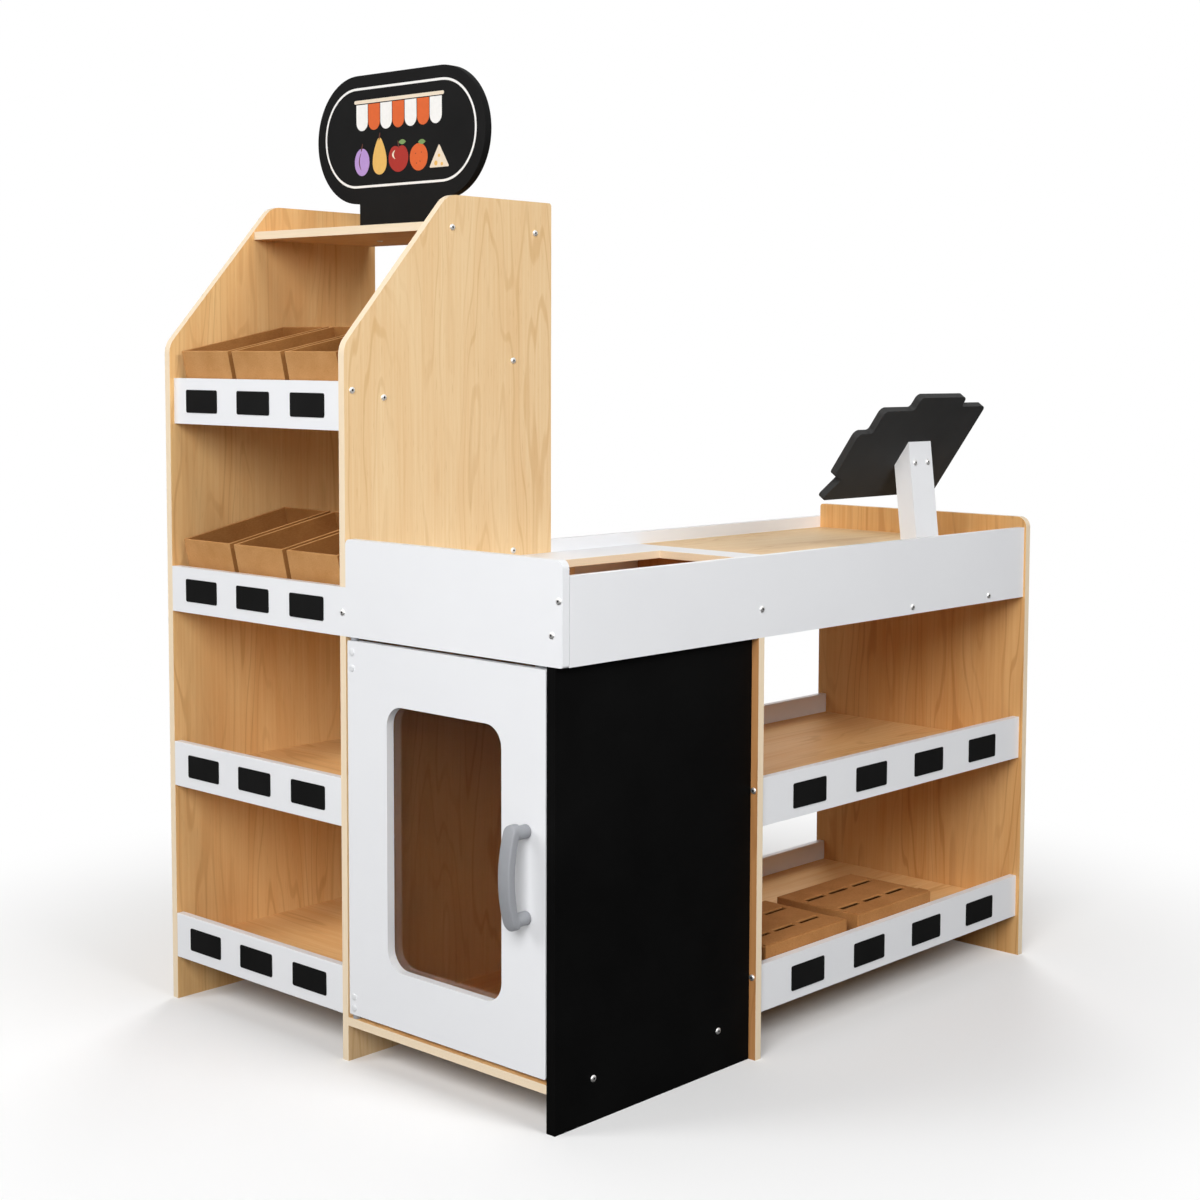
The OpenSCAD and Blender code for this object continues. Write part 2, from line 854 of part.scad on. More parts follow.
module upper_middle_tray() {
    tray(upper_tray_z, 1);
}

module upper_right_tray() {
    tray(upper_tray_z, 2);
}

module lower_left_tray() {
    tray(lower_tray_z, 0);
}

module lower_middle_tray() {
    tray(lower_tray_z, 1);
}

module lower_right_tray() {
    tray(lower_tray_z, 2);
}

// Upturned cardboard box with two rows of slots in its top
module cake_stand(y) {
    low = [stand_front - stand_d, y, bottom_shelf_z + board_t + play];
    color(cardboard) place() translate(low) difference() {
        cube([stand_d, stand_w, stand_h]);
        translate([card_t, card_t, -past])
            cube([stand_d - 2 * card_t, stand_w - 2 * card_t, stand_h - card_t + past]);
        for (row = [0.3, 0.72]) for (column = [-1 : 1]) {
            translate([row * stand_d - slot_w / 2, stand_w / 2 + column * stand_w * 0.31 - slot_l / 2, 0])
                cube([slot_w, slot_l, stand_h + past]);
        }
    }
}

module near_cake_stand() {
    cake_stand(near_stand_y);
}

module far_cake_stand() {
    cake_stand(far_stand_y);
}

left_side_panel();
middle_side_panel();
header_shelf();
header_sign();
upper_fascia();
middle_fascia();
bottom_fascia();
upper_tray_shelf();
lower_tray_shelf();
middle_shelf();
bottom_shelf();
middle_back_rail();
bottom_back_rail();
tall_unit_labels();
front_apron();
side_apron();
rear_apron();
chalkboard_panel();
divider_panel();
end_panel();
cabinet_floor();
cabinet_ceiling();
counter_base();
counter_cross_board();
bin_top();
counter_top();
side_middle_shelf();
side_bottom_shelf();
side_middle_fascia();
side_bottom_fascia();
side_middle_rail();
side_bottom_rail();
side_unit_labels();
cabinet_door();
door_window();
door_handle();
pivot_pins();
pivot_bushes();
hinge_caps();
handle_screws();
window_screws();
catch_plate();
door_catch();
screen_post();
screen_board();
screen_screws();
tall_unit_screws();
counter_screws();
upper_left_tray();
upper_middle_tray();
upper_right_tray();
lower_left_tray();
lower_middle_tray();
lower_right_tray();
near_cake_stand();
far_cake_stand();
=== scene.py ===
import math

import bmesh
import bpy
import numpy as np
from mathutils import Matrix, Vector


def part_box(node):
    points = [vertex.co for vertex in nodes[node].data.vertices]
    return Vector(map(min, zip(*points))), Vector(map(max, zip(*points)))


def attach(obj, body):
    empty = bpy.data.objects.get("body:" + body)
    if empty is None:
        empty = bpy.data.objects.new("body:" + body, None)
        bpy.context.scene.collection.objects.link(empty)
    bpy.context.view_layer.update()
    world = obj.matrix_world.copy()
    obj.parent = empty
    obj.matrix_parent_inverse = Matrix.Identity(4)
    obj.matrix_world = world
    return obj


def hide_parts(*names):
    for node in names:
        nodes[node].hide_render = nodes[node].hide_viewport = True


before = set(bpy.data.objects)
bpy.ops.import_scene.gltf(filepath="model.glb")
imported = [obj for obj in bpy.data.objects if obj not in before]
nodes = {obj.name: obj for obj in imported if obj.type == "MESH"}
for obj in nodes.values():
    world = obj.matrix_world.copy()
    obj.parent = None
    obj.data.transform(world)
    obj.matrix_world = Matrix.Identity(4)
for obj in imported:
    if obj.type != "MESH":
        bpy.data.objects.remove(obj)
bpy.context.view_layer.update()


# Side panels of the tall shelf: 10 mm particle board with a maple decor foil on both faces and a
# cream edge band glued round the cut edges. All shelves and fascias are screwed between them.
def linear(code):
    """Linear colour of an sRGB hex code."""
    parts = [int(code[i:i + 2], 16) / 255 for i in (1, 3, 5)]
    return [p / 12.92 if p <= 0.04045 else ((p + 0.055) / 1.055) ** 2.4 for p in parts] + [1.0]


def add(tree, kind, inputs=None, **settings):
    """Adds a shader node, sets its options and fills or links its sockets."""
    made = tree.nodes.new("ShaderNode" + kind)
    for option, value in settings.items():
        setattr(made, option, value)
    for socket, value in (inputs or {}).items():
        if isinstance(value, bpy.types.NodeSocket):
            tree.links.new(value, made.inputs[socket])
        else:
            made.inputs[socket].default_value = value
    return made


def new_finish(name):
    """New material with its node tree, its main shader and the object's own coordinates in metres."""
    material = bpy.data.materials.new(name)
    material.use_nodes = True
    tree = material.node_tree
    return material, tree, tree.nodes["Principled BSDF"], add(tree, "TexCoord").outputs["Object"]


def edge_mask(tree, across):
    """1 on a board's two faces and 0 on its cut edges, for a board that is thin along one axis."""
    normal = add(tree, "NewGeometry").outputs["True Normal"]
    side = add(tree, "SeparateXYZ", {0: normal}).outputs[across]
    turned = add(tree, "Math", {0: side}, operation="ABSOLUTE").outputs[0]
    return add(tree, "Math", {0: turned, 1: 0.75}, operation="GREATER_THAN").outputs[0]


def edge_band(tree, place):
    """Cream edge band with faint lines from its extrusion, 1 mm apart."""
    lines = add(tree, "TexNoise", {"Vector": place, "Scale": 900, "Detail": 1}).outputs[0]
    return add(tree, "Mix", {0: lines, 6: linear("#F2E0C6"), 7: linear("#E9D3B2")},
               data_type="RGBA").outputs[2]


def maple_foil(name, across, along, pale="#EDD0A4", deep="#E3BD8B", line_tone="#CDA066"):
    """Printed maple: pale honey ground with a flame figure of thin lines 8 to 20 mm apart, streaks 3 mm wide
    and pores of 1.6 by 23 mm, wider than real ones so that they show. The board is thin along the axis
    across, and the grain runs along the other axis."""
    material, tree, shader, place = new_finish(name)
    # Along the grain the figure is drawn out 9 times, the streaks 50 times and the pores 14 times
    drawn_out = []
    for share in (0.115, 0.02, 0.07):
        stretch = [share if axis == along else 1 for axis in range(3)]
        drawn_out.append(add(tree, "Mapping", {"Vector": place, "Scale": stretch}).outputs[0])
    figure_place, streak_place, pore_place = drawn_out
    field = add(tree, "TexNoise", {"Vector": figure_place, "Scale": 9, "Detail": 3,
                                   "Roughness": 0.42}).outputs[0]
    swell = add(tree, "Math", {0: field, 1: 42}, operation="MULTIPLY").outputs[0]
    swell = add(tree, "Math", {0: swell}, operation="SINE").outputs[0]
    phase = add(tree, "Math", {0: field, 1: 150}, operation="MULTIPLY").outputs[0]
    rings = add(tree, "Math", {0: phase}, operation="SINE").outputs[0]
    line = add(tree, "MapRange", {"Value": rings, "From Min": 0.68, "From Max": 1},
               interpolation_type="SMOOTHSTEP").outputs[0]
    zone = add(tree, "TexNoise", {"Vector": figure_place, "Scale": 16, "Detail": 1}).outputs[0]
    strength = add(tree, "MapRange", {"Value": zone, "From Min": 0.4, "From Max": 0.62,
                                      "To Min": 0.08, "To Max": 0.4}).outputs[0]
    flame = add(tree, "Math", {0: line, 1: strength}, operation="MULTIPLY").outputs[0]
    streak = add(tree, "TexNoise", {"Vector": streak_place, "Scale": 320, "Detail": 3}).outputs[0]
    pore_field = add(tree, "TexNoise", {"Vector": pore_place, "Scale": 620, "Detail": 1}).outputs[0]
    pore = add(tree, "MapRange", {"Value": pore_field, "From Min": 0.64, "From Max": 0.76}).outputs[0]
    fine = add(tree, "MapRange", {"Value": streak, "From Min": 0.3, "From Max": 0.7,
                                  "To Max": 0.5}).outputs[0]
    broad = add(tree, "MapRange", {"Value": swell, "From Min": -1, "From Max": 1, "To Max": 0.35}).outputs[0]
    amount = add(tree, "Math", {0: fine, 1: broad}, operation="ADD", use_clamp=True).outputs[0]
    ground = add(tree, "Mix", {0: amount, 6: linear(pale), 7: linear(deep)}, data_type="RGBA").outputs[2]
    lined = add(tree, "Mix", {0: flame, 6: ground, 7: linear(line_tone)}, data_type="RGBA").outputs[2]
    pore_share = add(tree, "Math", {0: pore, 1: 0.25}, operation="MULTIPLY").outputs[0]
    grain = add(tree, "Mix", {0: pore_share, 6: lined, 7: linear("#C2945A")}, data_type="RGBA").outputs[2]
    band = edge_band(tree, streak_place)
    colour = add(tree, "Mix", {0: edge_mask(tree, across), 6: band, 7: grain}, data_type="RGBA").outputs[2]
    tree.links.new(colour, shader.inputs["Base Color"])
    gloss = add(tree, "MapRange", {"Value": streak, "To Min": 0.42, "To Max": 0.54}).outputs[0]
    tree.links.new(gloss, shader.inputs["Roughness"])
    relief = add(tree, "Bump", {"Strength": 0.25, "Distance": 0.0002, "Height": pore}, invert=True).outputs[0]
    tree.links.new(relief, shader.inputs["Normal"])
    shader.inputs["Specular IOR Level"].default_value = 0.15
    return material


def coat(names, material):
    """Gives CAD nodes one material."""
    for name in names:
        nodes[name].data.materials.clear()
        nodes[name].data.materials.append(material)


def ease(names, width=0.0008):
    """Rounds the sharp edges of CAD boards as a sander or an edge trimmer leaves them."""
    for name in names:
        weld = nodes[name].modifiers.new("join_faces", "WELD")
        weld.merge_threshold = 0.00001
        flat = nodes[name].modifiers.new("flat_faces", "DECIMATE")
        flat.decimate_type = "DISSOLVE"
        flat.angle_limit = math.radians(1)
        edge = nodes[name].modifiers.new("eased_edges", "BEVEL")
        edge.width = width
        edge.segments = 2
        edge.limit_method = "ANGLE"
        edge.angle_limit = math.radians(40)


coat(["middle_side_panel"], maple_foil("maple_foil_upright", 0, 2))
# Painted shade: the left panel gets a darker, warmer copy of the maple, for the shade on its inner face in
# the bays.
coat(["left_side_panel"], maple_foil("maple_foil_upright_painted_shade", 0, 2, "#EBC48A", "#DFAC70", "#C28A4F"))
ease(["left_side_panel", "middle_side_panel"])

# Shelves of the tall unit and the header shelf: the same maple board, cut so that its grain runs from panel
# to panel, but coloured darker and warmer as painted shade for the bays. The two tray shelves lie at a slope
# behind their fascias.
painted_shade_warm_maple = ("#E8BE85", "#DCA66A", "#BE8549")
maple_level = maple_foil("maple_foil_level_painted_shade", 2, 0, *painted_shade_warm_maple)
tall_shelves = ["header_shelf", "upper_tray_shelf", "lower_tray_shelf", "middle_shelf", "bottom_shelf"]
coat(tall_shelves, maple_level)
ease(tall_shelves)


# Fascias and stops of the tall unit: board with a smooth white lacquer on faces and edges, screwed from
# the panels. The lacquer is satin, with a very fine orange peel and a faint unevenness in tone.
def white_lacquer(name, cut_edge=None):
    """White lacquer with tones 170 mm wide and an orange peel of 1.4 mm, coarser than the real one so that it
    shows. Where an axis is given, the board's cream edge band is left bare on the cut edges."""
    material, tree, shader, place = new_finish(name)
    tone = add(tree, "TexNoise", {"Vector": place, "Scale": 6, "Detail": 3}).outputs[0]
    colour = add(tree, "Mix", {0: tone, 6: linear("#EFF0F2"), 7: linear("#E8E9EC")},
                 data_type="RGBA").outputs[2]
    if cut_edge is not None:
        band = edge_band(tree, place)
        colour = add(tree, "Mix", {0: edge_mask(tree, cut_edge), 6: band, 7: colour},
                     data_type="RGBA").outputs[2]
    tree.links.new(colour, shader.inputs["Base Color"])
    peel = add(tree, "TexNoise", {"Vector": place, "Scale": 700, "Detail": 1}).outputs[0]
    gloss = add(tree, "MapRange", {"Value": tone, "To Min": 0.3, "To Max": 0.42}).outputs[0]
    tree.links.new(gloss, shader.inputs["Roughness"])
    relief = add(tree, "Bump", {"Strength": 0.05, "Distance": 0.0002, "Height": peel}).outputs[0]
    tree.links.new(relief, shader.inputs["Normal"])
    return material


white_board = white_lacquer("white_lacquered_board")
tall_fronts = ["upper_fascia", "middle_fascia", "bottom_fascia", "middle_back_rail", "bottom_back_rail"]
coat(tall_fronts, white_board)
ease(tall_fronts, 0.001)


# Sign: a round-ended board on a neck, screwed from below to the header shelf. It has black chalkboard
# paint, matt and slightly grainy, with the faint cloudy grey that wiped chalk leaves.
def chalkboard_paint(name, black, dust):
    """Black matt paint with wiped clouds 140 mm wide and a grit of 1.2 mm, coarser than the real one so that
    it shows."""
    material, tree, shader, place = new_finish(name)
    cloud = add(tree, "TexNoise", {"Vector": place, "Scale": 7, "Detail": 4, "Roughness": 0.6}).outputs[0]
    share = add(tree, "MapRange", {"Value": cloud, "From Min": 0.4, "From Max": 0.75}).outputs[0]
    colour = add(tree, "Mix", {0: share, 6: linear(black), 7: linear(dust)}, data_type="RGBA").outputs[2]
    tree.links.new(colour, shader.inputs["Base Color"])
    grain = add(tree, "TexNoise", {"Vector": place, "Scale": 1 / 0.0012, "Detail": 2}).outputs[0]
    relief = add(tree, "Bump", {"Strength": 0.2, "Distance": 0.0003, "Height": grain}).outputs[0]
    tree.links.new(relief, shader.inputs["Normal"])
    gloss = add(tree, "MapRange", {"Value": cloud, "To Min": 0.5, "To Max": 0.65}).outputs[0]
    tree.links.new(gloss, shader.inputs["Roughness"])
    shader.inputs["Specular IOR Level"].default_value = 0.05
    return material


coat(["header_sign"], chalkboard_paint("sign_chalkboard_paint", "#151515", "#1C1C1C"))
ease(["header_sign"], 0.0015)


# Print on the sign: a thin white border line and a plain market motif, a striped awning over five foods,
# in screen-printed ink that lies a hair above the paint.
def start(kind, name, **options):
    """Adds a primitive with nothing else selected, and opens it for editing."""
    bpy.ops.object.select_all(action="DESELECT")
    getattr(bpy.ops.mesh, f"primitive_{kind}_add")(**options)
    piece = bpy.context.object
    piece.name = name
    bpy.ops.object.mode_set(mode="EDIT")
    return piece


def choose(piece, kind, test):
    """Selects the vertices, edges or faces of an open piece that pass a test of their middle and points."""
    bpy.ops.mesh.select_mode(type=kind)
    bpy.ops.mesh.select_all(action="DESELECT")
    shape = bmesh.from_edit_mesh(piece.data)
    for part in {"VERT": shape.verts, "EDGE": shape.edges, "FACE": shape.faces}[kind]:
        points = [part.co] if kind == "VERT" else [corner.co for corner in part.verts]
        if test(sum(points, Vector()) / len(points), points):
            part.select_set(True)
    bmesh.update_edit_mesh(piece.data)


def push(x=0, y=0, z=0):
    """Extrudes what is selected by a step."""
    bpy.ops.mesh.extrude_region_move(TRANSFORM_OT_translate={"value": (x, y, z)})


def reshape(piece, rule):
    """Moves every vertex of an open piece by a rule of its place."""
    shape = bmesh.from_edit_mesh(piece.data)
    for corner in shape.verts:
        corner.co = rule(corner.co)
    bmesh.update_edit_mesh(piece.data)


def close(piece, place=Matrix()):
    """Turns a piece's faces outwards, ends the editing and puts the piece's place into its mesh."""
    bpy.ops.mesh.select_all(action="SELECT")
    bpy.ops.mesh.normals_make_consistent(inside=False)
    bpy.ops.object.mode_set(mode="OBJECT")
    piece.data.transform(place)
    return piece


def merge(pieces, name):
    """Joins finished pieces into one."""
    bpy.ops.object.select_all(action="DESELECT")
    for piece in pieces:
        piece.select_set(True)
    bpy.context.view_layer.objects.active = pieces[0]
    if len(pieces) > 1:
        bpy.ops.object.join()
    pieces[0].name = name
    return pieces[0]


def settle(piece, material, body, slot, *stands_for):
    """Gives a piece its finish and the body that it moves with, and hides the nodes that it stands for; its
    slot is not used.
    """
    if material is not None:
        piece.data.materials.clear()
        piece.data.materials.append(material)
    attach(piece, body)
    if stands_for:
        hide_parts(*stands_for)


def ink(name, shade):
    """Screen-print ink: opaque, matt, with a slightly uneven coat that changes every 4 mm."""
    material, tree, shader, place = new_finish(name)
    cover = add(tree, "TexNoise", {"Vector": place, "Scale": 250, "Detail": 2}).outputs[0]
    faded = [channel * 0.88 for channel in linear(shade)[:3]] + [1]
    colour = add(tree, "Mix", {0: cover, 6: linear(shade), 7: faded}, data_type="RGBA").outputs[2]
    tree.links.new(colour, shader.inputs["Base Color"])
    shader.inputs["Roughness"].default_value = 0.55
    shader.inputs["Specular IOR Level"].default_value = 0.2
    return material


sign_low, sign_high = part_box("header_sign")
sign_disc = 0.162
sign_middle = Vector(((sign_low.x + sign_high.x) / 2, sign_low.y, sign_high.z - sign_disc / 2))
ink_coat = 0.00012
print_shapes = {}


def on_sign(x, z, layer=1):
    """Place on the sign's face for a print drawn flat, x to the right and z up from the sign's middle."""
    lift = Vector((x, -ink_coat * (layer - 1), z))
    return Matrix.Translation(sign_middle + lift) @ Matrix.Rotation(math.pi / 2, 4, "X")


def printed(piece, colour, x, z, layer=1):
    """Gives a flat shape its coat of ink and puts it on the sign."""
    bpy.ops.mesh.select_all(action="SELECT")
    push(z=ink_coat)
    print_shapes.setdefault(colour, []).append(close(piece, on_sign(x, z, layer)))


def drawn(colour, x, z, outline, layer=1, corners=48):
    """Prints a disc whose rim follows an outline of angle."""
    piece = start("circle", "sign_print", vertices=corners, radius=1, fill_type="NGON")
    reshape(piece, lambda spot: Vector((*outline(math.atan2(spot.y, spot.x)), 0)))
    printed(piece, colour, x, z, layer)


# Border line 3 mm wide, 15.5 mm inside the sign's rim and 20 mm above its lower edge
border_line, border_inset, border_foot = 0.003, 0.0155, 0.020
border_w = sign_high.x - sign_low.x - 2 * border_inset
border_h = sign_disc - border_inset - border_foot
border = start("plane", "sign_print", size=1)
bpy.ops.transform.resize(value=(border_w, border_h, 1))
bpy.ops.mesh.bevel(offset=border_h * 0.497, segments=20, affect="VERTICES")
bpy.ops.mesh.inset(thickness=border_line)
bpy.ops.mesh.delete(type="FACE")
printed(border, "white", 0, (border_foot - border_inset) / 2)

# Awning of seven striped cloth tongues under a pole
stripe, tongue_l, tongues = 0.0235, 0.033, 7
tongue_z, pole_z, pole_h = 0.0275, 0.0475, 0.0045
for i in range(tongues):
    tongue = start("plane", "sign_print", size=1)
    bpy.ops.transform.resize(value=(stripe * 0.95, tongue_l, 1))
    choose(tongue, "VERT", lambda middle, points: middle.y < 0)
    bpy.ops.mesh.bevel(offset=stripe * 0.465, segments=8, affect="VERTICES")
    printed(tongue, "orange" if i % 2 else "white", (i - tongues // 2) * stripe, tongue_z)
awning_pole = start("plane", "sign_print", size=1)
bpy.ops.transform.resize(value=(stripe * (tongues + 0.3), pole_h, 1))
bpy.ops.mesh.bevel(offset=0.002, segments=3, affect="VERTICES")
printed(awning_pole, "cream", 0, pole_z)

# Five foods in a row: plum, pear, apple, orange and a wedge of cheese
row_z = -0.0265
cos, sin = math.cos, math.sin
drawn("violet", -0.071, row_z - 0.002, lambda a: (0.0145 * cos(a), 0.0172 * sin(a)))
drawn("brown", -0.071, row_z - 0.001,
      lambda a: (0.0008 * cos(a) - 0.0035 - 0.002 * cos(2 * a), 0.011 * sin(a)), 2, 20)
drawn("yellow", -0.0365, row_z + 0.004, lambda a: (0.0178 * cos(a) * (0.72 - 0.28 * sin(a)), 0.0232 * sin(a)))
drawn("red", 0, row_z, lambda a: (0.0188 * cos(a) * (1 - 0.2 * max(0, sin(a)) ** 6),
                                  0.0178 * sin(a) * (1 - 0.24 * max(0, sin(a)) ** 10)))
drawn("cream", -0.0085, row_z + 0.004,
      lambda a: (0.0016 * cos(a) - 0.002 * cos(2 * a), 0.0055 * sin(a)), 2, 20)
drawn("orange", 0.0385, row_z - 0.0015, lambda a: (0.0168 * cos(a), 0.0168 * sin(a)))
wedge = start("circle", "sign_print", vertices=3, radius=0.0225, fill_type="NGON")
bpy.ops.transform.resize(value=(0.95, 0.85, 1))
bpy.ops.mesh.bevel(offset=0.0025, segments=3, affect="VERTICES")
printed(wedge, "cream", 0.0765, row_z - 0.0075)
for x, z, r in ((0.0705, -0.011, 0.0030), (0.0815, -0.0125, 0.0022), (0.0765, -0.002, 0.0020)):
    drawn("yellow", x, row_z + z, lambda a: (r * cos(a), r * sin(a)), 2, 20)
for x, z, lean in ((-0.0365, 0.0285, 0.2), (0.0, 0.0165, -0.2), (-0.071, 0.0165, 0.3)):
    drawn("brown", x, row_z + z, lambda a: (0.0012 * cos(a) + lean * 0.005 * sin(a), 0.005 * sin(a)), 2, 16)
for x, z in ((0.0075, 0.019), (0.0445, 0.0168)):
    drawn("green", x, row_z + z, lambda a: (0.007 * cos(a), 0.0031 * sin(a) * abs(sin(a))), 2, 24)
for x, z in ((0.033, 0.003), (0.041, -0.007), (0.0435, 0.004), (0.0345, -0.009)):
    drawn("brown", x, row_z + z, lambda a: (0.0007 * cos(a), 0.0007 * sin(a)), 2, 10)
shades = {"white": "#F2F1EE", "red": "#A92F26", "orange": "#DB6530", "yellow": "#E6B865", "violet": "#B795D2",
          "cream": "#EBDCC6", "green": "#7C9A5E", "brown": "#5A3226"}
for colour, shapes in print_shapes.items():
    finish = ink(f"{colour}_screen_ink", shades[colour])
    settle(merge(shapes, f"sign_print_{colour}"), finish, "stall", "label_film")

# Write-on labels: thin black film plates with rounded corners, cut from the same kind of matt black
# that takes chalk, and glued to the fascias of both units.
label_film = chalkboard_paint("label_film", "#141414", "#1B1B1B")
coat(["tall_unit_labels", "side_unit_labels"], label_film)


# Display trays: kraft board cut, creased and folded up, with doubled side walls. The inside and
# the outer sides are coloured darker as painted shade. They lie loose on the sloped shelves.
def kraft_board(name, shade, low_shade):
    """Brown kraft with fibres of 1 by 3 mm, drawn coarse so that they show, blotches 33 mm wide and the faint
    ribs of 4 mm fluting."""
    material, tree, shader, place = new_finish(name)
    fibre_place = add(tree, "Mapping", {"Vector": place, "Scale": [1, 0.35, 1]}).outputs[0]
    fibre = add(tree, "TexNoise", {"Vector": fibre_place, "Scale": 900, "Detail": 3}).outputs[0]
    blotch = add(tree, "TexNoise", {"Vector": place, "Scale": 30, "Detail": 3}).outputs[0]
    mixed = add(tree, "Mix", {0: 0.5, 2: fibre, 3: blotch}).outputs[0]
    spread = add(tree, "MapRange", {"Value": mixed, "From Min": 0.35, "From Max": 0.65}).outputs[0]
    colour = add(tree, "Mix", {0: spread, 6: linear(shade), 7: linear(low_shade)},
                 data_type="RGBA").outputs[2]
    tree.links.new(colour, shader.inputs["Base Color"])
    flute = 0.004
    ribs = add(tree, "TexWave", {"Vector": place, "Scale": math.pi / 10 / flute, "Distortion": 1},
               bands_direction="X").outputs[1]
    height = add(tree, "Mix", {0: 0.3, 2: fibre, 3: ribs}).outputs[0]
    relief = add(tree, "Bump", {"Strength": 0.15, "Distance": 0.0004, "Height": height}).outputs[0]
    tree.links.new(relief, shader.inputs["Normal"])
    shader.inputs["Roughness"].default_value = 0.85
    shader.inputs["Specular IOR Level"].default_value = 0.2
    return material


def rounded(piece, test, radius, steps=3):
    """Rounds the edges of an open piece that pass a test."""
    choose(piece, "EDGE", test)
    bpy.ops.mesh.bevel(offset=radius, segments=steps, affect="EDGES")


def copy_of(piece, name, place):
    """Copy of a piece with its own mesh, put in its place."""
    twin = piece.copy()
    twin.name, twin.data = name, piece.data.copy()
    bpy.context.scene.collection.objects.link(twin)
    twin.data.transform(place)
    return twin


kraft = kraft_board("kraft_board", "#C6945F", "#B27F49")
kraft_painted_shade = kraft_board("kraft_painted_shade", "#A06E3C", "#8C5C2D")
columns = ("left", "middle", "right")
tray_names = [f"{level}_{column}_tray" for level in ("upper", "lower") for column in columns]
tray_low, tray_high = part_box(tray_names[0])
tray_w, tray_l, tray_h = tray_high.x - tray_low.x, 0.157, 0.055
tray_tilt = math.radians(12)
wall, side_wall, tray_base = 0.0032, 0.0045, 0.003
rim_r, fold_r = 0.0009, 0.0008
hair = 0.0001
tray = start("cube", "folded_tray", size=1)
bpy.ops.transform.resize(value=(tray_w, tray_l, tray_h))
bpy.ops.transform.translate(value=(tray_w / 2, tray_l / 2, tray_h / 2))
choose(tray, "FACE", lambda middle, points: middle.z > tray_h - hair)
bpy.ops.mesh.inset(thickness=wall)
bpy.ops.transform.resize(value=((tray_w - 2 * side_wall) / (tray_w - 2 * wall), 1, 1))
push(z=tray_base - tray_h)
rounded(tray, lambda middle, points: min(spot.z for spot in points) > tray_h - hair, rim_r)
rounded(tray, lambda middle, points: abs(points[0].z - points[1].z) > 0.03 and (
    abs(middle.x - tray_w / 2) > tray_w / 2 - hair), fold_r)
tray.data.materials.append(kraft)
tray.data.materials.append(kraft_painted_shade)
# Painted shade: the outer side walls and the inside faces take the darker kraft, for the shade between and
# inside the trays.
choose(tray, "FACE", lambda middle, points: abs(middle.x - tray_w / 2) > tray_w / 2 - hair or (
    min(middle.x, tray_w - middle.x) > side_wall - hair and min(middle.y, tray_l - middle.y) > wall - hair
    and hair < middle.z < tray_h - 0.0005))
tray.active_material_index = 1
bpy.ops.object.material_slot_assign()
close(tray)
bpy.ops.object.shade_smooth_by_angle(angle=math.radians(30))
for name in tray_names:
    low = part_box(name)[0]
    corner = Vector((low.x, low.y + tray_h * math.sin(tray_tilt), low.z))
    twin = copy_of(tray, "folded_" + name, Matrix.Translation(corner) @ Matrix.Rotation(tray_tilt, 4, "X"))
    settle(twin, None, name, "cardboard", name)
bpy.data.objects.remove(tray)

# Cabinet under the counter's corner: a maple divider behind, a floor and a ceiling, and on the right a
# large black-painted board to write on with chalk.
# Painted shade: the divider, the bin's floor and the counter's base get a darker, browner copy of the maple,
# and the cabinet floor the milder warm copy, for the shade inside the cabinet and the bin.
painted_shade_maple_tones = ("#C8925E", "#B9804B", "#A06B3A")
maple_foil_for_painted_shade = maple_foil("maple_foil_painted_shade", 1, 2, *painted_shade_maple_tones)
coat(["divider_panel"], maple_foil_for_painted_shade)
coat(["cabinet_floor"], maple_foil("maple_foil_cabinet_painted_shade", 2, 1, *painted_shade_warm_maple))
coat(["cabinet_ceiling", "counter_base"], maple_foil("maple_foil_bin_floor_painted_shade", 2, 1, *painted_shade_maple_tones))
coat(["chalkboard_panel"], chalkboard_paint("chalkboard_paint", "#070707", "#0C0C0C"))
ease(["divider_panel", "cabinet_floor", "cabinet_ceiling", "chalkboard_panel"])

# Cabinet door: white board with a rounded window, hung on two pins. A 2 mm clear acrylic sheet is
# screwed behind the window, and its polished faces mirror the window's edge a little.
coat(["cabinet_door"], white_board)
ease(["cabinet_door"], 0.0012)
acrylic, tree, shader, place = new_finish("clear_acrylic_sheet")
# Painted shade: the sheet's warm tint browns the cabinet's inside seen through it, as shade does.
shader.inputs["Base Color"].default_value = linear("#FFE6CE")
shader.inputs["Roughness"].default_value = 0.02
shader.inputs["IOR"].default_value = 1.49
shader.inputs["Transmission Weight"].default_value = 1.0
# Cast sheet is never quite flat: its faces swell a little every 70 mm
wave = add(tree, "TexNoise", {"Vector": place, "Scale": 14, "Detail": 1}).outputs[0]
relief = add(tree, "Bump", {"Strength": 0.2, "Distance": 0.002, "Height": wave}).outputs[0]
tree.links.new(relief, shader.inputs["Normal"])
coat(["door_window"], acrylic)


# Hinge caps, pivot bushes and catch: small mouldings of white or grey plastic. The caps are low domes
# pressed over the hinge plates' screws.
def moulded_plastic(name, shade, low_shade):
    """Satin ABS with tones 25 mm wide and the skin of a spark-eroded mould, drawn at 0.7 mm to show."""
    material, tree, shader, place = new_finish(name)
    tone = add(tree, "TexNoise", {"Vector": place, "Scale": 40, "Detail": 3}).outputs[0]
    colour = add(tree, "Mix", {0: tone, 6: linear(shade), 7: linear(low_shade)}, data_type="RGBA").outputs[2]
    tree.links.new(colour, shader.inputs["Base Color"])
    skin = add(tree, "TexNoise", {"Vector": place, "Scale": 1500, "Detail": 1}).outputs[0]
    relief = add(tree, "Bump", {"Strength": 0.15, "Distance": 0.0002, "Height": skin}).outputs[0]
    tree.links.new(relief, shader.inputs["Normal"])
    shader.inputs["Roughness"].default_value = 0.55
    return material


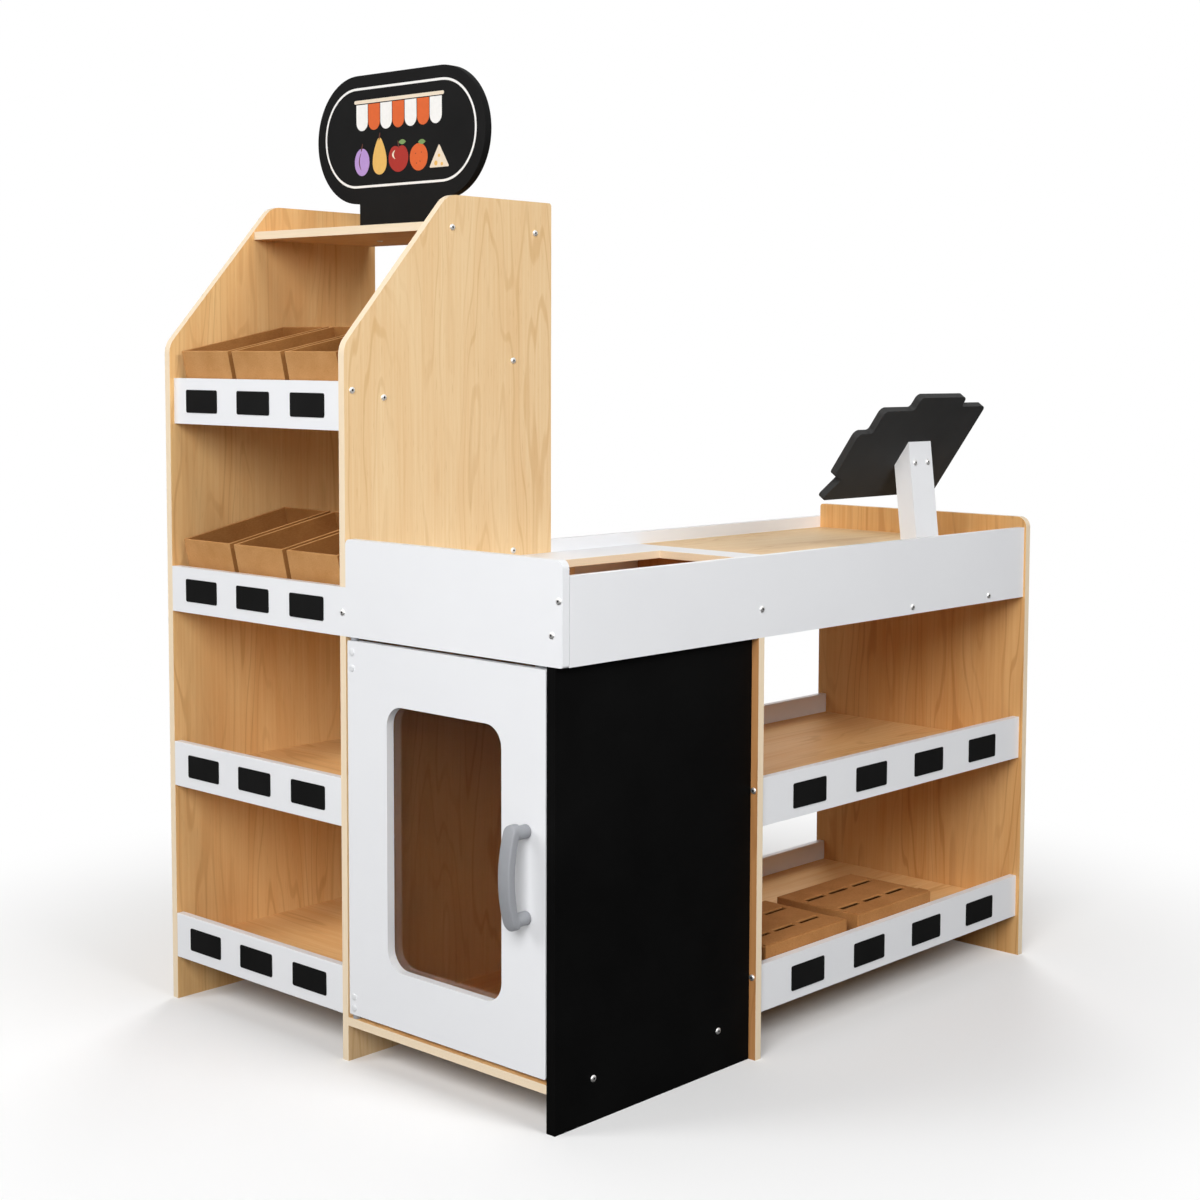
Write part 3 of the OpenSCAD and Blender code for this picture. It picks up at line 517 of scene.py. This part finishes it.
def loose_parts(name):
    """Points of each separate solid in a CAD node."""
    shape = bmesh.new()
    shape.from_mesh(nodes[name].data)
    bmesh.ops.remove_doubles(shape, verts=shape.verts[:], dist=0.00001)
    shape.verts.index_update()
    seen, parts = set(), []
    for first in shape.verts:
        if first.index in seen:
            continue
        seen.add(first.index)
        part, reach = [], [first]
        while reach:
            spot = reach.pop()
            part.append(spot.co[:])
            for edge in spot.link_edges:
                other = edge.other_vert(spot)
                if other.index not in seen:
                    seen.add(other.index)
                    reach.append(other)
        parts.append(np.array(part))
    shape.free()
    return parts


def domed(name, radius, height):
    """Opens a low dome that stands on the origin, with its top face selected."""
    piece = start("circle", name, vertices=24, radius=radius, fill_type="NGON")
    last_reach, last_rise = 1.0, 0.0
    for reach, rise in ((1.0, 0.3), (0.93, 0.62), (0.76, 0.87), (0.52, 1.0)):
        push(z=(rise - last_rise) * height)
        bpy.ops.transform.resize(value=(reach / last_reach, reach / last_reach, 1))
        last_reach, last_rise = reach, rise
    return piece


grey_plastic = moulded_plastic("moulded_grey_plastic", "#989A9E", "#8D8F94")
white_plastic = moulded_plastic("moulded_white_plastic", "#E3E4E6", "#DCDDDF")
coat(["pivot_bushes"], grey_plastic)
coat(["door_catch"], white_plastic)
cap_r, cap_h = 0.0042, 0.0013
cap = close(domed("hinge_cap", cap_r, cap_h))
bpy.ops.object.shade_smooth_by_angle(angle=math.radians(40))
caps = []
for part in loose_parts("hinge_caps"):
    low, high = part.min(axis=0), part.max(axis=0)
    foot = Vector(((low[0] + high[0]) / 2, high[1], (low[2] + high[2]) / 2))
    caps.append(copy_of(cap, "cap", Matrix.Translation(foot) @ Matrix.Rotation(math.pi / 2, 4, "X")))
bpy.data.objects.remove(cap)
settle(merge(caps, "hinge_cap_domes"), white_plastic, "door", "white_plastic", "hinge_caps")

# Door handle: one grey moulding, a bowed flat bar with round ends on two round feet, held by screws
# through the door.
handle_low, handle_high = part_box("door_handle")
handle_middle = (handle_low + handle_high) / 2
handle_l = handle_high.z - handle_low.z
bar_w, bar_t, bow = 0.0172, 0.010, 0.010
end_r, foot_r, foot_at = 0.0075, 0.0075, 0.046
bar_edge, foot_edge = 0.0018, 0.0014
handle = start("cube", "door_pull", size=1)
bpy.ops.transform.resize(value=(bar_w, bar_t, handle_l))
choose(handle, "EDGE", lambda middle, points: abs(middle.z) < 0.001)
bpy.ops.mesh.subdivide(number_cuts=23)


def bowed(spot):
    """Rounds the bar's two ends and bends them back to the door."""
    z = handle_l / 2 * math.sin(math.pi * spot.z / handle_l)
    end = max(0, abs(z) - handle_l / 2 + end_r) / end_r
    return Vector((spot.x * max(0.28, math.sqrt(1 - end * end)), spot.y + bow * (2 * z / handle_l) ** 2, z))


reshape(handle, bowed)
bpy.ops.mesh.select_mode(type="EDGE")
bpy.ops.mesh.select_all(action="DESELECT")
bpy.ops.mesh.edges_select_sharp(sharpness=math.radians(45))
bpy.ops.mesh.bevel(offset=bar_edge, segments=3, affect="EDGES")
foot_l = handle_high.y - handle_low.y - bow
foot_back = foot_l + bow - bar_t / 2
for foot_z in (-foot_at, foot_at):
    bpy.ops.mesh.select_all(action="DESELECT")
    bpy.ops.mesh.primitive_cylinder_add(vertices=32, radius=foot_r, depth=foot_l,
                                        rotation=(math.pi / 2, 0, 0),
                                        location=(0, foot_back - foot_l / 2, foot_z))
    rounded(handle, lambda middle, points: min(spot.y for spot in points) > foot_back - hair and (
        abs(middle.z - foot_z) < foot_r * 1.2), foot_edge)
close(handle, Matrix.Translation((handle_middle.x, handle_low.y + bar_t / 2, handle_middle.z)))
bpy.ops.object.shade_smooth_by_angle(angle=math.radians(35))
settle(handle, grey_plastic, "door", "grey_plastic", "door_handle")

# Counter: white aprons in front, at the side and behind, a maple top on a hidden base, and over the
# cabinet a white top with a square hole, whose cut edge is banded in cream.
coat(["front_apron", "side_apron", "rear_apron"], white_board)
ease(["front_apron"], 0.0018)
ease(["side_apron", "rear_apron"], 0.001)
# Painted shade: the cross board under the counter gets the darker maple of the cabinet's inside.
coat(["counter_cross_board"], maple_foil_for_painted_shade)
coat(["counter_top"], maple_foil("maple_foil_counter", 2, 1))
coat(["bin_top"], white_lacquer("white_lacquered_top", 2))
ease(["counter_cross_board", "counter_base", "counter_top", "bin_top"])

# Side unit under the counter: a maple end panel, two maple shelves and their white fascias and stops,
# of the same boards as the tall unit and screwed together through the panels.
# Painted shade: end panel and side shelves get darker, warmer maple copies, for the shade under the counter.
coat(["end_panel"], maple_foil("maple_foil_cross_painted_shade", 1, 2, "#E0B278", "#D29A5C", "#B37A3F"))
coat(["side_middle_shelf", "side_bottom_shelf"], maple_foil("maple_foil_side_shelf_painted_shade", 2, 1, *painted_shade_warm_maple))
side_fronts = ["side_middle_fascia", "side_bottom_fascia", "side_middle_rail", "side_bottom_rail"]
coat(side_fronts, white_board)
ease(["end_panel", "side_middle_shelf", "side_bottom_shelf"])
ease(side_fronts, 0.001)

# Slotted stands: flat kraft boxes with two rows of slots in the top. A tuck flap ends in a slightly wavy
# line along the front of each top.
stands = ["near_cake_stand", "far_cake_stand"]
# Painted shade: the stands' kraft is darker than the trays', for the shade that the shelf above casts on
# them.
shade_darkened_stand_kraft = kraft_board("stand_kraft_board_painted_shade", "#B57F4B", "#A06C3B")
coat(stands, shade_darkened_stand_kraft)
ease(stands, 0.0015)
flap_w, flap_t, flap_gap, flap_end = 0.018, 0.0012, 0.0025, 0.002


def wavy(spot):
    """Gives the inner edge of a flap a slight wave and slant."""
    if spot.x >= 0:
        return spot
    return spot + Vector((0.0022 * math.sin(spot.y * 38) + 0.03 * spot.y, 0, 0))


for name in stands:
    low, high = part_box(name)
    span = high.y - low.y - 2 * flap_end
    flap = start("plane", name.replace("cake_stand", "stand_flap"), size=1)
    bpy.ops.transform.resize(value=(flap_w, span, 1))
    choose(flap, "EDGE", lambda middle, points: abs(middle.y) < 0.001)
    bpy.ops.mesh.subdivide(number_cuts=31)
    reshape(flap, wavy)
    bpy.ops.mesh.select_all(action="SELECT")
    push(z=flap_t)
    flap_x = high.x - flap_gap - flap_w / 2
    close(flap, Matrix.Translation((flap_x, (low.y + high.y) / 2, high.z - hair)))
    settle(flap, shade_darkened_stand_kraft, name, "cardboard")

# Screen: a black stepped board, like the back of a till, screwed to a white post that leans on the
# counter.
screen_paint = chalkboard_paint("screen_chalkboard_paint", "#383838", "#404040")
coat(["screen_post"], white_board)
coat(["screen_board"], screen_paint)
ease(["screen_post"], 0.001)
ease(["screen_board"], 0.0015)

# Screws: button heads of nickel-plated steel with a hex socket, sunk through the boards from outside.
# The door's pins and the catch plate have the same bright plating.
# Nickel plate is bright and satin, with a tone that changes slightly every 3 mm
nickel, tree, shader, place = new_finish("nickel_plated_steel")
tone = add(tree, "TexNoise", {"Vector": place, "Scale": 300, "Detail": 2}).outputs[0]
colour = add(tree, "Mix", {0: tone, 6: linear("#F6F5F3"), 7: linear("#EAE9E7")}, data_type="RGBA").outputs[2]
tree.links.new(colour, shader.inputs["Base Color"])
shader.inputs["Metallic"].default_value = 1.0
shader.inputs["Roughness"].default_value = 0.5
# Painted shade: the sockets are coloured dark for the shade in their recesses, in specks of 1 mm
socket, tree, shader, place = new_finish("socket_painted_shade_steel")
tone = add(tree, "TexNoise", {"Vector": place, "Scale": 900, "Detail": 2}).outputs[0]
colour = add(tree, "Mix", {0: tone, 6: linear("#3A3A3C"), 7: linear("#1E1E20")}, data_type="RGBA").outputs[2]
tree.links.new(colour, shader.inputs["Base Color"])
shader.inputs["Metallic"].default_value = 0.6
shader.inputs["Roughness"].default_value = 0.5
coat(["pivot_pins", "catch_plate"], nickel)
head_r, head_h = 0.0039, 0.0017
head = domed("screw_head", head_r, head_h)
head.data.materials.append(nickel)
head.data.materials.append(socket)
bpy.ops.mesh.inset(thickness=head_r * 0.14)
hex_r, hex_depth, sunk = head_r * 0.36, 0.0012, 0.0016


def hexagonal(spot):
    """Draws the inner ring of the head out to a hexagon."""
    reach = math.hypot(spot.x, spot.y)
    if spot.z < head_h - hair or reach > head_r * 0.45:
        return spot
    turn = math.atan2(spot.y, spot.x) % (math.pi / 3) - math.pi / 6
    grown = hex_r * math.cos(math.pi / 6) / math.cos(turn) / reach
    return Vector((spot.x * grown, spot.y * grown, spot.z))


reshape(head, hexagonal)
push(z=-hex_depth)
choose(head, "FACE", lambda middle, points: math.hypot(middle.x, middle.y) < hex_r and len(points) != 3 and (
    min(spot.z for spot in points) < head_h - 0.0005 and middle.z > hair))
head.active_material_index = 1
bpy.ops.object.material_slot_assign()
close(head)
bpy.ops.object.shade_smooth_by_angle(angle=math.radians(40))
# A screw's head is at the end whose last slice is the wider one, and each ends at another angle
end_slice, turn_step = 0.0012, 0.7
for name, body in (("tall_unit_screws", "stall"), ("counter_screws", "stall"), ("screen_screws", "stall"),
                   ("handle_screws", "door"), ("window_screws", "door")):
    heads = []
    for i, part in enumerate(loose_parts(name)):
        middle = part.mean(axis=0)
        axis = np.linalg.svd(part - middle)[2][0]
        along = (part - middle) @ axis
        across = np.linalg.norm(part - middle - np.outer(along, axis), axis=1)
        last_r = across[along > along.max() - end_slice].max()
        first_r = across[along < along.min() + end_slice].max()
        out = 1 if last_r > first_r else -1
        foot = middle + axis * out * ((along * out).max() - sunk)
        aim = Vector(axis * out).to_track_quat("Z", "Y").to_matrix().to_4x4()
        turn = Matrix.Rotation(turn_step * i, 4, "Z")
        heads.append(copy_of(head, "head", Matrix.Translation(foot) @ aim @ turn))
    settle(merge(heads, name.replace("screws", "screw_heads")), None, body, "steel", name)
bpy.data.objects.remove(head)

# Studio: a pale floor, a white surround and four soft lamps. Seen directly, the floor runs into the
# surround; it gives back the light of a mid-grey floor, and is darker still where the object mirrors it.
bpy.ops.object.select_all(action="DESELECT")
bpy.ops.mesh.primitive_plane_add(size=40)
floor = bpy.context.object
floor.name = "studio_floor"
floor_finish, tree, shader, place = new_finish("studio_floor_paint")
shader.inputs["Roughness"].default_value = 0.9
shader.inputs["Specular IOR Level"].default_value = 0.0
reach = add(tree, "VectorMath", {0: place}, operation="LENGTH").outputs["Value"]
away = add(tree, "MapRange", {"Value": reach, "From Min": 0.4, "From Max": 1.2},
           interpolation_type="SMOOTHSTEP").outputs[0]
path = add(tree, "LightPath")
looked_at = add(tree, "Math", {0: path.outputs["Diffuse Depth"], 1: 0.5}, operation="LESS_THAN").outputs[0]
mirrored = add(tree, "Math", {0: path.outputs["Glossy Depth"], 1: looked_at}, operation="MINIMUM").outputs[0]
through = add(tree, "Math", {0: path.outputs["Is Transmission Ray"], 1: looked_at},
              operation="MULTIPLY").outputs[0]
through = add(tree, "Math", {0: through, 1: mirrored}, operation="SUBTRACT", use_clamp=True).outputs[0]
watched = add(tree, "Math", {0: path.outputs["Is Camera Ray"], 1: through}, operation="MAXIMUM").outputs[0]
bounce = add(tree, "Mix", {0: mirrored, 6: linear("#9C9C9C"), 7: linear("#3C3C3C")},
             data_type="RGBA").outputs[2]
bounce = add(tree, "Mix", {0: watched, 6: bounce, 7: linear("#F6F6F6")}, data_type="RGBA").outputs[2]
tree.links.new(bounce, shader.inputs["Base Color"])
share = add(tree, "Math", {0: away, 1: watched}, operation="MULTIPLY").outputs[0]
glow = add(tree, "Emission", {"Color": (1, 1, 1, 1), "Strength": 1.0}).outputs[0]
both = add(tree, "MixShader", {0: share, 1: shader.outputs[0], 2: glow}).outputs[0]
tree.links.new(both, tree.nodes["Material Output"].inputs["Surface"])
floor.data.materials.append(floor_finish)

world = bpy.data.worlds.new("studio_surround")
bpy.context.scene.world = world
world.use_nodes = True
tree = world.node_tree
surround = tree.nodes["Background"]
path = add(tree, "LightPath")
# Mirrored, the surround is white behind the object and dim in front of it, as a studio is
backwards = (-0.66, 0.75, 0)
direction = add(tree, "TexCoord").outputs["Generated"]
behind = add(tree, "VectorMath", {0: direction, 1: backwards}, operation="DOT_PRODUCT").outputs["Value"]
mirrored = add(tree, "MapRange", {"Value": behind, "From Min": -0.3, "From Max": 0.5,
                                  "To Min": 0.4, "To Max": 1.0}).outputs[0]
mirrored = add(tree, "Math", {0: mirrored, 1: path.outputs["Is Glossy Ray"]}, operation="MULTIPLY").outputs[0]
seen = add(tree, "Math", {0: path.outputs["Is Camera Ray"], 1: path.outputs["Is Transmission Ray"]},
           operation="MAXIMUM").outputs[0]
seen = add(tree, "Math", {0: seen, 1: mirrored}, operation="MAXIMUM").outputs[0]
scattered = add(tree, "Math", {0: path.outputs["Diffuse Depth"], 1: 0.5}, operation="LESS_THAN").outputs[0]
seen = add(tree, "Math", {0: seen, 1: scattered}, operation="MULTIPLY").outputs[0]
strength = add(tree, "MapRange", {"Value": seen, "To Min": 0.03, "To Max": 1.0}).outputs[0]
tree.links.new(strength, surround.inputs["Strength"])
surround.inputs["Color"].default_value = (1, 1, 1, 1)


def lamp(name, place, size, watts):
    """Round soft lamp aimed at the middle of the object."""
    light = bpy.data.lights.new(name, "AREA")
    light.shape, light.size, light.energy = "DISK", size, watts
    holder = bpy.data.objects.new(name, light)
    bpy.context.scene.collection.objects.link(holder)
    holder.location = place
    holder.rotation_euler = (Vector((0, 0, 0.5)) - Vector(place)).to_track_quat("-Z", "Y").to_euler()
    return holder


lamp("front_left_lamp", (-2.2, -3.4, 2.6), 2.0, 66)
lamp("front_right_lamp", (1.95, -3.35, 2.4), 2.6, 141)
lamp("side_lamp", (4.1, -0.2, 3.2), 2.2, 110)
lamp("back_lamp", (-2.6, 3.4, 3.0), 2.4, 105).visible_glossy = False

# Camera: stands where the photograph was taken from, as fitted to the boards' edges. The lens shift
# puts the object where the picture's frame has it.
camera = bpy.data.objects.new("photo_camera", bpy.data.cameras.new("photo_camera"))
bpy.context.scene.collection.objects.link(camera)
camera.location = (1.77739, -1.84976, 0.80679)
camera.rotation_euler = [math.radians(turn) for turn in (85.556, -0.415, 40.967)]
camera.data.sensor_width = 36
camera.data.lens = 59.771
camera.data.shift_x = -0.09054
camera.data.shift_y = -0.06982
bpy.context.scene.camera = camera
bpy.context.scene.view_settings.view_transform = "Standard"
